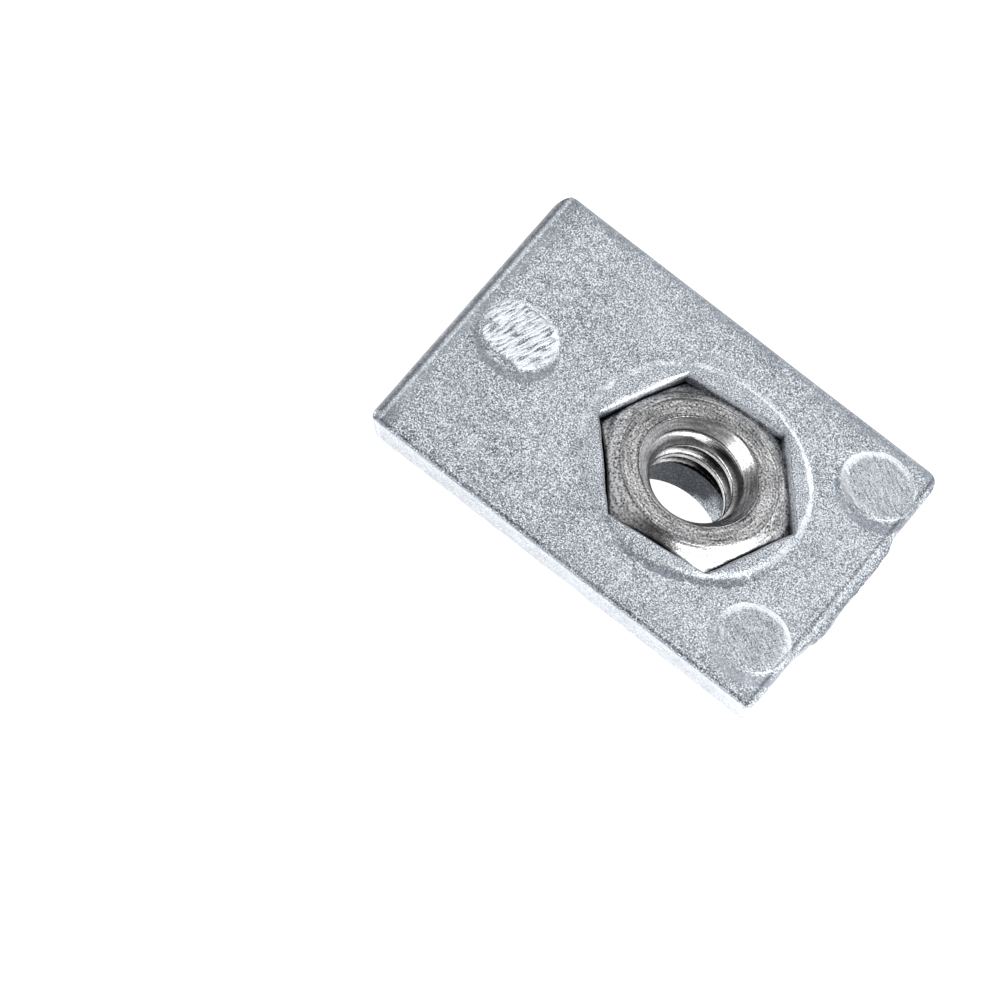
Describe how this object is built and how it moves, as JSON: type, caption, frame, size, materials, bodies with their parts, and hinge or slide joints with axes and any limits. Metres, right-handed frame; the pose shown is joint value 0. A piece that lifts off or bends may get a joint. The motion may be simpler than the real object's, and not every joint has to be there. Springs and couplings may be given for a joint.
{
  "type": "t slot nut",
  "caption": "Dovetail T slot nut: a zinc casting that slides in a slot and holds a captive hex nut for a 1/4-20 screw.",
  "frame": {"origin": "middle of the narrow face, which the part rests on", "axes": "+X along the slot towards the gate end, +Z from the narrow face up to the wide face"},
  "size_m": [0.0282, 0.0215, 0.0078],
  "materials": {
    "zinc_casting": "fine-grained die-cast zinc, satin",
    "nut_steel": "turned stainless steel"
  },
  "bodies": {
    "root": {"slider_body": "zinc_casting", "hex_nut": "nut_steel"}
  },
  "joints": []
}
